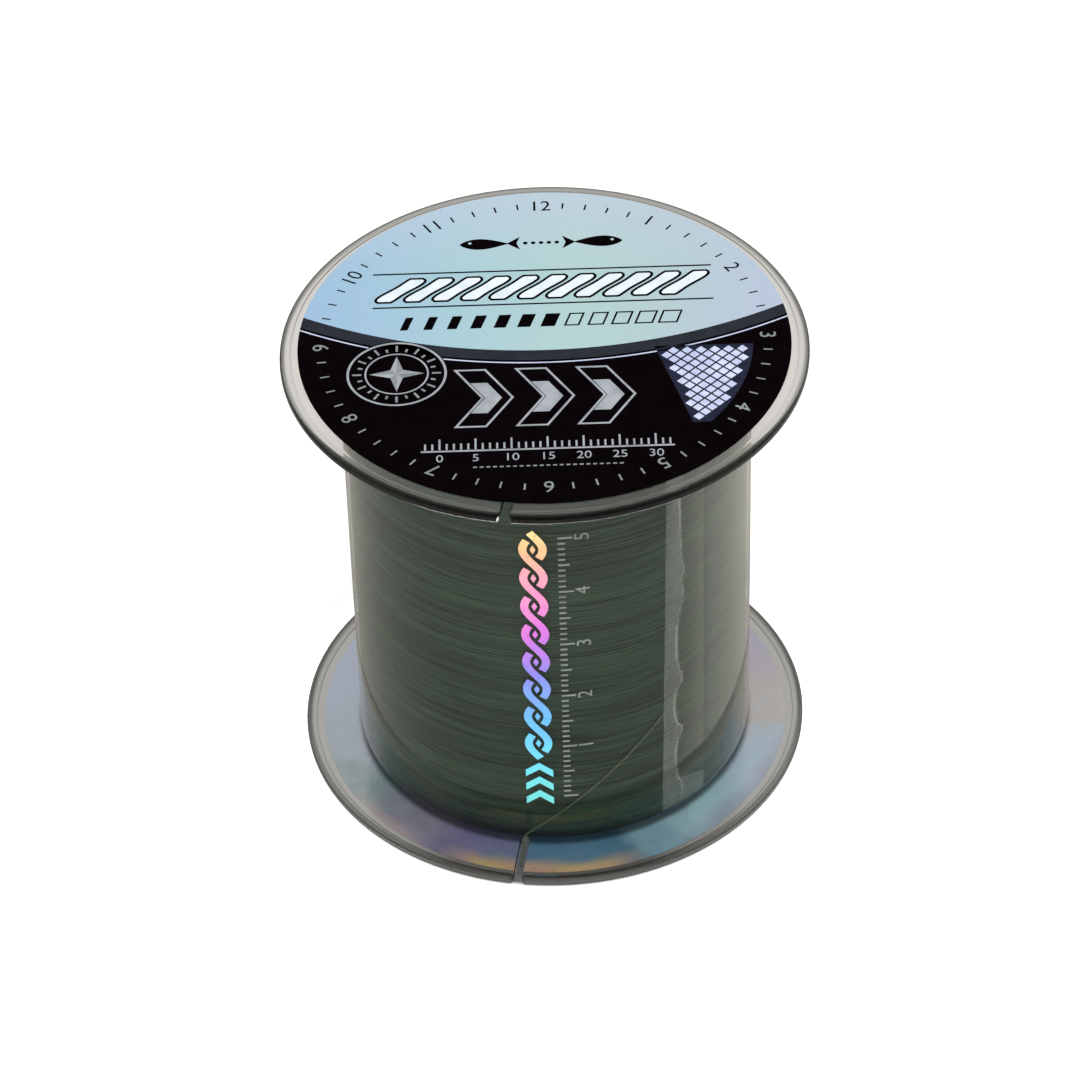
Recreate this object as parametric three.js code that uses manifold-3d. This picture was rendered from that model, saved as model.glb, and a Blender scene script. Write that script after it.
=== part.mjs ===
// A shop spool of braided fishing line. Two moulded clear-grey halves, each a
// flange with half of the hub, plug together and carry a flat, wide winding of
// line. The free end of the line runs slantwise over the winding and is caught
// in a slot of the lower flange. A clear film sleeve, closed on itself with a
// strip of adhesive, covers the winding. A round label closes each end.
// Millimetres, +Z along the spool's axis, origin on the surface it stands on.
import * as THREE from "three";
import { mergeVertices } from "three/addons/utils/BufferGeometryUtils.js";
import Module from "manifold-3d";

const wasm = await Module();
wasm.setup();

// ---- Driving dimensions ----
const HEIGHT = 71.5; // over both flanges
const FLANGE_R = 37.7; // outermost radius of each rim
const RIM_T = 1.5; // thickness of the rim
const RIM_ROUND = 0.7; // rounding of the rim's edges
const RECESS_R = 36.15; // shallow recess that takes the label
const RECESS_D = 0.25;
const HUB_R = 25.5; // outside of the hub barrel, under the line
const HUB_IN = 23.9; // inside of the hub barrel
const MID = HEIGHT / 2; // where the two halves meet
const LAP = 4.0; // how far the upper half's spigot enters the lower half
const LAP_R = 24.6; // outside of that spigot
const ARBOR_R = 7.0; // centre tube
const ARBOR_BORE = 5.5;
const ARBOR_LAP_R = 6.2;
const ARBOR_LAP = 3.0;
const RIBS = 6;
const RIB_T = 1.2;
const MATE_GAP = 0.05; // between the halves where they shoulder
const SLOT_AZ = -99.7; // degrees, the line slots of both flanges
const SLOT_IN = 28.9; // radius where a slot starts, at the winding's surface
const SLOT_W = 1.2; // its width
const SLOT_LIP = 2.0; // its width at the rim's edge
const LABEL_TOP_R = 35.15;
const LABEL_TOP_SHIFT = 0.8; // the label sits a little to the back
const LABEL_BOTTOM_R = 34.9;
const LABEL_T = 0.15;
const LINE_D = 0.28; // the line
const PACK_IN = 25.6; // winding, inside and outside
const PACK_R = 28.9;
const FILM_T = 0.1;
const FILM_R1 = 29.42; // inside of the sleeve
const FILM_R2 = 29.62; // inside of its overlapping layer
const FILM_LOW = 2.4; // lower and upper edge of the sleeve
const FILM_HIGH = 69.3;
const FILM_END_AZ = -57.5; // outer end of the film
const FILM_START_AZ = -42.5; // inner end, under the overlap
const STRIP_W = 6; // degrees of the adhesive strip, 3.1 mm
const TAPE_AZ = [60, 105]; // tape that holds the first turn on the hub
const TAPE_Z = [4, 12];
const SEG = 72; // facets round the moulded halves
const FINE = 144; // facets round the winding

// ---- Helpers ----
const rad = (d) => (d * Math.PI) / 180;

function toSolid(geometry) {
  const g = geometry.index ? geometry.toNonIndexed() : geometry.clone();
  g.deleteAttribute("normal");
  g.deleteAttribute("uv");
  const merged = mergeVertices(g, 1e-4);
  const make = (flip) => {
    const triVerts = new Uint32Array(merged.index.array);
    if (flip)
      for (let i = 0; i < triVerts.length; i += 3)
        [triVerts[i + 1], triVerts[i + 2]] = [triVerts[i + 2], triVerts[i + 1]];
    return new wasm.Manifold(
      new wasm.Mesh({
        numProp: 3,
        vertProperties: merged.attributes.position.array,
        triVerts,
      }),
    );
  };
  const solid = make(false);
  return solid.volume() < 0 ? make(true) : solid;
}

function toGeometry(solid) {
  const m = solid.getMesh();
  const at = new Float32Array(m.numVert * 3);
  for (let i = 0; i < m.numVert; i++)
    at.set(m.vertProperties.subarray(i * m.numProp, i * m.numProp + 3), i * 3);
  const g = new THREE.BufferGeometry();
  g.setAttribute("position", new THREE.BufferAttribute(at, 3));
  g.setIndex(new THREE.BufferAttribute(new Uint32Array(m.triVerts), 1));
  g.computeVertexNormals();
  return g;
}

// A profile of [radius, height] points, turned about Z. It closes on itself.
function turned(points, segments) {
  const closed = [...points, points[0]].map(([r, z]) => new THREE.Vector2(r, z));
  const g = new THREE.LatheGeometry(closed, segments);
  g.rotateX(Math.PI / 2);
  return g;
}

function extruded(shape, low, high, curveSegments = 8) {
  const g = new THREE.ExtrudeGeometry(shape, {
    depth: high - low,
    bevelEnabled: false,
    curveSegments,
  });
  g.translate(0, 0, low);
  return g;
}

function box(sx, sy, low, high, at, azimuth) {
  const g = new THREE.BoxGeometry(sx, sy, high - low);
  g.translate(at, 0, (low + high) / 2);
  g.rotateZ(rad(azimuth));
  return g;
}

// A sheet that follows a circle or a spiral: radius of its inside at an angle.
function band(radius, thickness, from, to, step, low, high) {
  const n = Math.max(1, Math.round(Math.abs(to - from) / step));
  const inner = [];
  const outer = [];
  for (let i = 0; i <= n; i++) {
    const a = from + ((to - from) * i) / n;
    const r = radius(a);
    const c = Math.cos(rad(a));
    const s = Math.sin(rad(a));
    inner.push(new THREE.Vector2(r * c, r * s));
    outer.push(new THREE.Vector2((r + thickness) * c, (r + thickness) * s));
  }
  return extruded(new THREE.Shape([...inner, ...outer.reverse()]), low, high);
}

const arc = (r, z, radius, from, to, n) =>
  Array.from({ length: n + 1 }, (_, i) => {
    const a = rad(from + ((to - from) * i) / n);
    return [r + radius * Math.cos(a), z + radius * Math.sin(a)];
  });

// The opening of a line slot in plan: a narrow slit with a round inner end and
// lips that flare out to the rim's edge.
function slotCutter(low, high) {
  const w = SLOT_W / 2;
  const lip = SLOT_LIP / 2;
  const s = new THREE.Shape();
  s.moveTo(SLOT_IN + w, -w);
  s.lineTo(FLANGE_R - 1.3, -w);
  s.quadraticCurveTo(FLANGE_R - 0.45, -w, FLANGE_R, -lip);
  s.lineTo(FLANGE_R + 0.6, -lip - 0.9);
  s.lineTo(FLANGE_R + 0.6, lip + 0.9);
  s.lineTo(FLANGE_R, lip);
  s.quadraticCurveTo(FLANGE_R - 0.45, w, FLANGE_R - 1.3, w);
  s.lineTo(SLOT_IN + w, w);
  s.absarc(SLOT_IN + w, 0, w, Math.PI / 2, (3 * Math.PI) / 2, false);
  const g = extruded(s, low, high, 6);
  g.rotateZ(rad(SLOT_AZ));
  return toSolid(g);
}

// ---- Materials ----
const material = (color, roughness, more = {}) =>
  new THREE.MeshStandardMaterial({ color, roughness, metalness: 0, ...more });
const clearGrey = material(0x5b615d, 0.12, { transparent: true, opacity: 0.55 });
const film = material(0xf2f5f3, 0.06, { transparent: true, opacity: 0.22 });
const adhesive = material(0xd9dfdc, 0.45, { transparent: true, opacity: 0.4 });
const greenLine = material(0x2f4238, 0.6);
const labelPrint = material(0xa9c6dc, 0.25, { metalness: 0.3 });
const labelBack = material(0xb7bccb, 0.3, { metalness: 0.6 });
const paperTape = material(0xe6dfc8, 0.8);

const spool = new THREE.Group();
function add(name, solid, look) {
  const mesh = new THREE.Mesh(toGeometry(solid), look);
  mesh.name = name;
  spool.add(mesh);
  return mesh;
}

// ---- Lower half: flange, half barrel with a socket, half centre tube, ribs ----
const edge = FLANGE_R - RIM_ROUND;
let lower = toSolid(
  turned(
    [
      [HUB_IN, RECESS_D],
      [RECESS_R, RECESS_D],
      [RECESS_R, 0],
      ...arc(edge, RIM_ROUND, RIM_ROUND, -90, 0, 3),
      ...arc(edge, RIM_T - RIM_ROUND, RIM_ROUND, 0, 90, 3),
      [HUB_R, RIM_T],
      [HUB_R, MID],
      [LAP_R + 0.1, MID],
      [LAP_R + 0.1, MID - LAP - 0.2],
      [HUB_IN, MID - LAP - 0.2],
    ],
    SEG,
  ),
);
lower = lower.add(
  toSolid(
    turned(
      [
        [ARBOR_BORE, RECESS_D],
        [ARBOR_R, RECESS_D],
        [ARBOR_R, MID],
        [ARBOR_LAP_R + 0.1, MID],
        [ARBOR_LAP_R + 0.1, MID - ARBOR_LAP - 0.2],
        [ARBOR_BORE, MID - ARBOR_LAP - 0.2],
      ],
      24,
    ),
  ),
);
const ribLength = HUB_IN + 0.5 - (ARBOR_R - 0.4);
const ribMiddle = (HUB_IN + 0.5 + ARBOR_R - 0.4) / 2;
for (let i = 0; i < RIBS; i++)
  lower = lower.add(
    toSolid(
      box(ribLength, RIB_T, RECESS_D + 0.05, MID - LAP - 0.6, ribMiddle, SLOT_AZ + 30 + (i * 360) / RIBS),
    ),
  );
// A key in the socket lines the two slots up, and three lugs click into pockets.
lower = lower.add(toSolid(box(1.0, 2.0, MID - LAP - 0.2, MID, 24.5, SLOT_AZ)));
for (const a of [30, 150, 270])
  lower = lower.subtract(
    toSolid(box(0.6, 5.6, MID - LAP + 1.0, MID - LAP + 2.8, 24.85, SLOT_AZ + a)),
  );
lower = lower.subtract(slotCutter(-1, RIM_T + 1));

// ---- Upper half: the same with spigots instead of sockets ----
let upper = toSolid(
  turned(
    [
      [HUB_IN, HEIGHT - RECESS_D],
      [HUB_IN, MID - LAP],
      [LAP_R, MID - LAP],
      [LAP_R, MID + MATE_GAP],
      [HUB_R, MID + MATE_GAP],
      [HUB_R, HEIGHT - RIM_T],
      ...arc(edge, HEIGHT - RIM_T + RIM_ROUND, RIM_ROUND, -90, 0, 3),
      ...arc(edge, HEIGHT - RIM_ROUND, RIM_ROUND, 0, 90, 3),
      [RECESS_R, HEIGHT],
      [RECESS_R, HEIGHT - RECESS_D],
    ],
    SEG,
  ),
);
upper = upper.add(
  toSolid(
    turned(
      [
        [ARBOR_BORE, HEIGHT - RECESS_D],
        [ARBOR_BORE, MID - ARBOR_LAP],
        [ARBOR_LAP_R, MID - ARBOR_LAP],
        [ARBOR_LAP_R, MID + MATE_GAP],
        [ARBOR_R, MID + MATE_GAP],
        [ARBOR_R, HEIGHT - RECESS_D],
      ],
      24,
    ),
  ),
);
for (let i = 0; i < RIBS; i++)
  upper = upper.add(
    toSolid(
      box(ribLength, RIB_T, MID + 0.8, HEIGHT - RECESS_D - 0.05, ribMiddle, SLOT_AZ + 30 + (i * 360) / RIBS),
    ),
  );
upper = upper.subtract(
  toSolid(box(1.6, 2.5, MID - LAP - 0.5, MID + MATE_GAP, 24.2, SLOT_AZ)),
);
for (const a of [30, 150, 270])
  upper = upper.add(
    toSolid(box(0.55, 5.0, MID - LAP + 1.3, MID - LAP + 2.5, 24.65, SLOT_AZ + a)),
  );
upper = upper.subtract(slotCutter(HEIGHT - RIM_T - 1, HEIGHT + 1));

add("lower_spool_half", lower, clearGrey);
add("upper_spool_half", upper, clearGrey);

// ---- Labels, in the recesses of the two flanges ----
const disc = (radius, low, high) => {
  const points = [
    [0, low],
    [radius, low],
    [radius, high],
    [0, high],
  ].map(([r, z]) => new THREE.Vector2(r, z));
  const g = new THREE.LatheGeometry(points, SEG);
  g.rotateX(Math.PI / 2);
  return g;
};
const topLabel = disc(
  LABEL_TOP_R,
  HEIGHT - RECESS_D + 0.02,
  HEIGHT - RECESS_D + 0.02 + LABEL_T,
);
topLabel.translate(0, LABEL_TOP_SHIFT, 0);
add("top_label", toSolid(topLabel), labelPrint);
add(
  "bottom_label",
  toSolid(disc(LABEL_BOTTOM_R, RECESS_D - 0.02 - LABEL_T, RECESS_D - 0.02)),
  labelBack,
);

// ---- Start tape: holds the first turn of the line on the hub ----
add(
  "start_tape",
  toSolid(
    band(() => HUB_R + 0.02, 0.13, TAPE_AZ[0], TAPE_AZ[1], 5, TAPE_Z[0], TAPE_Z[1]),
  ),
  paperTape,
);

// ---- Winding: about 500 m of line in level layers, as one ring ----
add(
  "wound_line",
  toSolid(
    turned(
      [
        [PACK_IN, RIM_T + 0.05],
        [PACK_R, RIM_T + 0.05],
        [PACK_R, HEIGHT - RIM_T - 0.05],
        [PACK_IN, HEIGHT - RIM_T - 0.05],
      ],
      FINE,
    ),
  ).subtract(
    toSolid(
      band(() => HUB_R - 0.4, 0.7, TAPE_AZ[0] - 1, TAPE_AZ[1] + 1, 5, TAPE_Z[0] - 0.3, TAPE_Z[1] + 0.3),
    ),
  ),
  greenLine,
);

// ---- Free end of the line: out of the winding, slantwise down under the
// sleeve, and into the slot of the lower flange ----
const onPack = (azimuth, z, lift = 0) => {
  const r = PACK_R + 0.03 + LINE_D / 2 + lift;
  return new THREE.Vector3(r * Math.cos(rad(azimuth)), r * Math.sin(rad(azimuth)), z);
};
const tailPoints = [];
for (let i = 0; i <= 12; i++) {
  // the first degrees bend out of the level turns
  const a = -50 - (i / 12) * 47;
  const slope = 17.8 / 38.4; // mm per degree on the straight stretch
  const straight = 21.0 + (a + 58.8) * slope;
  const start = 21.0 + (-54 + 58.8) * slope;
  tailPoints.push(onPack(a, a > -54 ? start + (a + 54) * slope * 0.45 : straight));
}
const along = (r, z) =>
  new THREE.Vector3(r * Math.cos(rad(SLOT_AZ)), r * Math.sin(rad(SLOT_AZ)), z);
tailPoints.push(along(29.35, 2.0), along(29.9, 1.15), along(31.2, 0.75), along(34.2, 0.7));
const tailCurve = new THREE.CatmullRomCurve3(tailPoints, false, "centripetal");
const section = new THREE.Shape(
  Array.from({ length: 8 }, (_, i) => {
    const a = (i * Math.PI) / 4;
    return new THREE.Vector2((LINE_D / 2) * Math.cos(a), (LINE_D / 2) * Math.sin(a));
  }),
);
add(
  "line_tail",
  toSolid(
    new THREE.ExtrudeGeometry(section, {
      steps: 60,
      bevelEnabled: false,
      extrudePath: tailCurve,
    }),
  ),
  greenLine,
);

// ---- Film sleeve with its overlap, and the adhesive strip inside it ----
const turnedBy = (a) => FILM_START_AZ - a;
const filmRadius = (a) => {
  const t = turnedBy(a);
  const up = Math.min(1, Math.max(0, (t - 335) / 25));
  return FILM_R1 + (FILM_R2 - FILM_R1) * up;
};
add(
  "clear_wrap",
  toSolid(
    band(filmRadius, FILM_T, FILM_START_AZ, FILM_END_AZ - 360, 2.5, FILM_LOW, FILM_HIGH),
  ),
  film,
);
add(
  "wrap_adhesive_strip",
  toSolid(
    band(
      () => FILM_R1 + FILM_T + 0.01,
      FILM_R2 - FILM_R1 - FILM_T - 0.03,
      FILM_END_AZ + 0.5,
      FILM_END_AZ + 0.5 + STRIP_W,
      2,
      FILM_LOW + 0.2,
      FILM_HIGH - 0.2,
    ),
  ),
  adhesive,
);

export default spool;
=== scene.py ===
import math
import random

import bmesh
import bpy
import numpy as np
from mathutils import Matrix, Vector


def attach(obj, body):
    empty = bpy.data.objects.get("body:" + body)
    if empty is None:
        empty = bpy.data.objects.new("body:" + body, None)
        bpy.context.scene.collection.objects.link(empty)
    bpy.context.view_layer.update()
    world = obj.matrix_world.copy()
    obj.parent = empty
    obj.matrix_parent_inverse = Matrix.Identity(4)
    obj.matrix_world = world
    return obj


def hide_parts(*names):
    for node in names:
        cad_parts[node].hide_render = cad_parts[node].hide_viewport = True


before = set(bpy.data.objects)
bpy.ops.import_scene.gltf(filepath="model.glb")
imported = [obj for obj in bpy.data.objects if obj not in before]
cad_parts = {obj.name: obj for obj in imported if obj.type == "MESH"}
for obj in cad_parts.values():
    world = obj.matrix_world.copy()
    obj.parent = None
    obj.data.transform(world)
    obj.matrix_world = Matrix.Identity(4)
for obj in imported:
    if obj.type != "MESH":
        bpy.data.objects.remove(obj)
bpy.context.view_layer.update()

MM = 0.001
rad = math.radians

# ---------------------------------------------------------------- sizes, mm
HEIGHT = 71.5
FLANGE_R = 37.7
RIM_T = 1.5
RIM_EASE_R = 0.9
RIM_EASE_Z = 0.60
RECESS_R = 36.15
RECESS_D = 0.25
HUB_R = 25.5
HUB_IN = 23.9
MID = HEIGHT / 2
LAP = 4.0
LAP_R = 24.6
ARBOR_R = 7.0
ARBOR_BORE = 5.5
SLOT_AZ = -99.7
SLOT_IN = 28.9
SLOT_W = 1.2
SLOT_LIP = 2.0
LABEL_TOP_R = 35.15
LABEL_TOP_SHIFT = 0.8
LABEL_BOTTOM_R = 34.9
LABEL_T = 0.15
LINE_D = 0.28
PACK_IN = 25.6
PACK_R = 28.9
FILM_R1 = 29.44
FILM_R2 = 29.55
FILM_T = 0.06
FILM_LOW = 2.4
FILM_HIGH = 69.3
FILM_START_AZ = -42.5


# ------------------------------------------------------------------- camera
def make_camera():
    e, roll = rad(41.249), rad(1.7416)
    unit = 37.5 * MM
    back = Vector((0, -math.cos(e), math.sin(e)))
    right = Vector((1, 0, 0))
    up = Vector((0, math.sin(e), math.cos(e)))
    at = (
        right * -0.0392 * unit
        + up * -0.0241 * unit
        + back * 17.9683 * unit
        + Vector((0, 0, MID * MM))
    )
    c, s = math.cos(roll), math.sin(roll)
    cam_right = right * c - up * s
    cam_up = right * s + up * c
    data = bpy.data.cameras.new("camera")
    data.sensor_width = 36
    data.lens = 4574.4984 / 1080 * 36
    data.clip_start, data.clip_end = 0.05, 50
    cam = bpy.data.objects.new("camera", data)
    m = Matrix((cam_right, cam_up, back)).transposed().to_4x4()
    m.translation = at
    cam.matrix_world = m
    bpy.context.scene.collection.objects.link(cam)
    bpy.context.scene.camera = cam


make_camera()


# ------------------------------------------------------------ node helpers
class Nodes:
    """Short-hand for building a shader tree."""

    def __init__(self, tree):
        self.tree = tree

    def add(self, kind, inputs=None, **settings):
        n = self.tree.nodes.new(kind)
        for k, v in settings.items():
            setattr(n, k, v)
        for k, v in (inputs or {}).items():
            self.put(n.inputs[k], v)
        return n

    def put(self, socket, value):
        if isinstance(value, bpy.types.NodeSocket):
            self.tree.links.new(value, socket)
        elif isinstance(value, bpy.types.Node):
            self.tree.links.new(value.outputs[0], socket)
        else:
            if socket.type == "RGBA" and len(value) == 3:
                value = (*value, 1.0)
            socket.default_value = value

    def math(self, op, *values, clamp=False):
        n = self.add("ShaderNodeMath", operation=op, use_clamp=clamp)
        for i, v in enumerate(values):
            self.put(n.inputs[i], v)
        return n.outputs[0]

    def range(self, value, a, b, c=0.0, d=1.0, smooth=False):
        n = self.add("ShaderNodeMapRange")
        n.interpolation_type = "SMOOTHSTEP" if smooth else "LINEAR"
        for i, v in enumerate((value, a, b, c, d)):
            self.put(n.inputs[i], v)
        return n.outputs[0]

    def mix(self, fac, a, b, mode="MIX"):
        n = self.add("ShaderNodeMix", data_type="RGBA", blend_type=mode)
        self.put(n.inputs[0], fac)
        self.put(n.inputs[6], a)
        self.put(n.inputs[7], b)
        return n.outputs[2]

    def ramp(self, value, stops, mode="LINEAR"):
        n = self.add("ShaderNodeValToRGB")
        n.color_ramp.interpolation = mode
        el = n.color_ramp.elements
        while len(el) > 1:
            el.remove(el[-1])
        el[0].position, el[0].color = stops[0][0], (*stops[0][1], 1)
        for p, c in stops[1:]:
            e = el.new(p)
            e.color = (*c, 1)
        self.put(n.inputs[0], value)
        return n.outputs[0]

    def noise(self, vector, scale, detail=4.0, roughness=0.55, **more):
        n = self.add("ShaderNodeTexNoise", {"Vector": vector, "Scale": scale, "Detail": detail, "Roughness": roughness})
        for k, v in more.items():
            setattr(n, k, v)
        return n.outputs["Fac"]

    def place(self):
        """Object coordinates in millimetres."""
        co = self.add("ShaderNodeTexCoord").outputs["Object"]
        n = self.add("ShaderNodeVectorMath", operation="SCALE")
        self.put(n.inputs[0], co)
        n.inputs["Scale"].default_value = 1000.0
        return n.outputs[0]

    def split(self, vector):
        n = self.add("ShaderNodeSeparateXYZ", {"Vector": vector})
        return n.outputs

    def join(self, x, y, z):
        return self.add("ShaderNodeCombineXYZ", {"X": x, "Y": y, "Z": z}).outputs[0]

    def glance(self, straight):
        """Share that a clear sheet's face reflects: the same from either side of the face."""
        facing = self.add("ShaderNodeLayerWeight", {"Blend": 0.5}).outputs["Facing"]
        return self.math("MULTIPLY_ADD", self.math("POWER", facing, 5.0), 1.0 - straight, straight)

    def bump(self, height, strength, distance):
        return self.add(
            "ShaderNodeBump", {"Height": height, "Strength": strength, "Distance": distance}
        ).outputs[0]


def material(name):
    m = bpy.data.materials.new(name)
    m.use_nodes = True
    m.node_tree.nodes.clear()
    n = Nodes(m.node_tree)
    n.out = n.add("ShaderNodeOutputMaterial")
    n.m = m
    return n


def srgb(r, g, b):
    def one(v):
        v /= 255
        return v / 12.92 if v <= 0.04045 else ((v + 0.055) / 1.055) ** 2.4
    return (one(r), one(g), one(b))


# ---------------------------------------------------------------- materials
def clear_grey():
    """Smoke-grey moulded polystyrene: it darkens along the way through it, and lamps shine through."""
    n = material("clear_grey_plastic")
    p = n.place()
    x, y, z = n.split(p)
    radius = n.math("SQRT", n.math("ADD", n.math("MULTIPLY", x, x), n.math("MULTIPLY", y, y)))
    scuffed = n.math("MULTIPLY", n.range(radius, 37.3, 37.45), n.range(z, 1.6, 2.0, 1.0, 0.0))
    rough = n.range(n.noise(p, 0.9, 3.0), 0.35, 0.7, 0.02, 0.05)
    tint = n.mix(n.range(n.noise(p, 0.12, 2.0), 0.35, 0.65), (0.95, 0.955, 0.95), (0.985, 0.985, 0.98))
    # painted shade: the tint darkens towards the rounded edge, the same all round, and a little along the step of the
    # recess, standing in for the dark bands that refraction shows there
    inset = n.math("SUBTRACT", radius, 36.76)
    inset = n.math("ADD", inset, n.range(z, 10.0, 20.0, 0.12, 0.0))
    edge = n.range(inset, 0.0, 0.42, 0.0, 0.70, smooth=True)
    tint = n.mix(edge, tint, (0.0, 0.0, 0.0))
    # painted shade along the step of the recess
    painted_step_shade = n.range(n.math("ABSOLUTE", n.math("SUBTRACT", radius, 36.1)), 0.05, 0.13, 0.14, 0.0)
    tint = n.mix(painted_step_shade, tint, (0.0, 0.0, 0.0))
    shader = n.add(
        "ShaderNodeBsdfPrincipled",
        {
            "Base Color": n.mix(scuffed, tint, (0.62, 0.61, 0.59)),
            "Roughness": n.math("MULTIPLY_ADD", scuffed, 0.14, rough),
            "IOR": 1.56,
            "Transmission Weight": n.math("MULTIPLY_ADD", scuffed, -0.08, 0.998),
        },
    )
    clear = n.add("ShaderNodeBsdfTransparent", {"Color": (0.95, 0.955, 0.95)})
    shadow = n.add("ShaderNodeLightPath").outputs["Is Shadow Ray"]
    mixed = n.add("ShaderNodeMixShader", {0: shadow, 1: shader, 2: clear})
    n.put(n.out.inputs[0], mixed)
    body = n.add("ShaderNodeVolumeAbsorption", {"Color": (0.765, 0.760, 0.748), "Density": 1000.0})
    n.put(n.out.inputs[1], body)
    return n.m


def strands():
    """Dark green braid: level turns a line's width apart, in layers that were laid a little unevenly."""
    n = material("braided_line")
    x, y, z = n.split(n.place())
    azimuth = n.math("ARCTAN2", y, x)
    along = n.math("MULTIPLY", azimuth, 29.0)
    # streaks: noise drawn out along the turns, in three widths, two of them on a slant
    up = n.math("MULTIPLY_ADD", along, 0.014, z)
    down = n.math("MULTIPLY_ADD", along, -0.03, z)
    broad = n.noise(n.join(n.math("MULTIPLY", along, 0.012), 0.0, n.math("MULTIPLY", z, 0.16)), 1.0, 3.0)
    medium = n.noise(n.join(n.math("MULTIPLY", along, 0.030), 3.0, n.math("MULTIPLY", up, 0.85)), 1.0, 3.0)
    small = n.noise(n.join(n.math("MULTIPLY", along, 0.05), 7.0, n.math("MULTIPLY", down, 2.9)), 1.0, 3.0, 0.7)
    fine = n.noise(n.join(n.math("MULTIPLY", along, 0.04), 5.0, n.math("MULTIPLY", up, 6.5)), 1.0, 2.0, 0.6)
    turn = n.noise(n.join(n.math("MULTIPLY", along, 0.05), 11.0, n.math("MULTIPLY", z, 3.57)), 1.0, 1.0)
    # the weave of the braid itself, much finer than a turn
    weave = n.add(
        "ShaderNodeTexWave",
        {"Vector": n.join(along, z, 0.0), "Scale": 2.4, "Distortion": 1.2, "Detail": 1.0},
        bands_direction="DIAGONAL",
    ).outputs["Fac"]
    tone = n.math("MULTIPLY_ADD", broad, 0.16, 0.0)
    tone = n.math("MULTIPLY_ADD", medium, 0.24, tone)
    tone = n.math("MULTIPLY_ADD", small, 0.28, tone)
    tone = n.math("MULTIPLY_ADD", fine, 0.22, tone)
    tone = n.math("MULTIPLY_ADD", turn, 0.10, tone)
    colour = n.ramp(
        n.range(tone, 0.415, 0.59),
        [
            (0.0, (0.0010, 0.0062, 0.0026)),
            (0.28, (0.0055, 0.0220, 0.0100)),
            (0.58, (0.0160, 0.0450, 0.0230)),
            (1.0, (0.0380, 0.0800, 0.0430)),
        ],
    )
    colour = n.mix(n.math("MULTIPLY", weave, 0.08), colour, (0.030, 0.070, 0.038))
    # painted shade: the turns darken near both flanges, where the winding meets them
    painted_foot_shade = n.math("MULTIPLY", n.range(z, 1.9, 3.4, 0.22, 1.0, smooth=True), n.range(z, 68.6, 69.8, 1.0, 0.35, smooth=True))
    colour = n.mix(painted_foot_shade, (0.0008, 0.0016, 0.0012), colour)
    shader = n.add(
        "ShaderNodeBsdfPrincipled",
        {
            "Base Color": colour,
            "Roughness": n.range(small, 0.3, 0.7, 0.40, 0.60),
            "Specular IOR Level": 0.35,
            "Sheen Weight": 0.05,
            "Sheen Roughness": 0.4,
            "Normal": n.bump(n.math("ADD", n.math("ADD", small, fine), n.math("MULTIPLY", weave, 0.15)), 0.3, 0.00012),
        },
    )
    n.put(n.out.inputs[0], shader)
    return n.m


def clear_film():
    """Clear polypropylene film: what is behind it shows, with a gloss that grows at a glance."""
    n = material("clear_film")
    p = n.place()
    x, y, z = n.split(p)
    azimuth = n.math("ARCTAN2", y, x)
    ripple = n.noise(n.join(n.math("MULTIPLY", azimuth, 12.0), 2.0, n.math("MULTIPLY", z, 0.05)), 1.0, 2.0)
    gloss = n.add(
        "ShaderNodeBsdfGlossy",
        {
            "Color": (0.97, 0.955, 0.905),
            "Roughness": n.range(ripple, 0.3, 0.7, 0.05, 0.11),
            "Normal": n.bump(ripple, 0.05, 0.0006),
        },
    )
    clear = n.add("ShaderNodeBsdfTransparent", {"Color": (0.985, 0.992, 0.985)})
    mixed = n.add("ShaderNodeMixShader", {0: n.glance(0.028), 1: clear, 2: gloss})
    n.put(n.out.inputs[0], mixed)
    return n.m


def haze(name, share, patchy, inner=False):
    """Transfer adhesive between two layers of film: a thin milky veil with bubbles.

    With inner, the air under the film's inner end, which also stands as a painted reflection that lightens the film
    beside the end: weaker with distance from the end.
    """
    n = material(name)
    p = n.place()
    x, y, z = n.split(p)
    azimuth = n.math("ARCTAN2", y, x)
    long = n.join(n.math("MULTIPLY", azimuth, 29.0), 0.0, n.math("MULTIPLY", z, 0.22))
    cloud = n.noise(long, 0.8, 4.0, 0.6)
    amount = n.range(cloud, 0.36, 0.62, share * (1 - patchy), share, smooth=True)
    if inner:
        near = n.range(azimuth, rad(FILM_START_AZ), rad(-16.0), 1.0, 0.0, smooth=True)
        amount = n.math("MULTIPLY", amount, near)
    milk = n.add(
        "ShaderNodeBsdfDiffuse",
        {"Color": n.mix(cloud, (0.74, 0.76, 0.70), (0.86, 0.87, 0.82))},
    )
    clear = n.add("ShaderNodeBsdfTransparent", {"Color": (1, 1, 1)})
    mixed = n.add("ShaderNodeMixShader", {0: amount, 1: clear, 2: milk})
    n.put(n.out.inputs[0], mixed)
    return n.m


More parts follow.
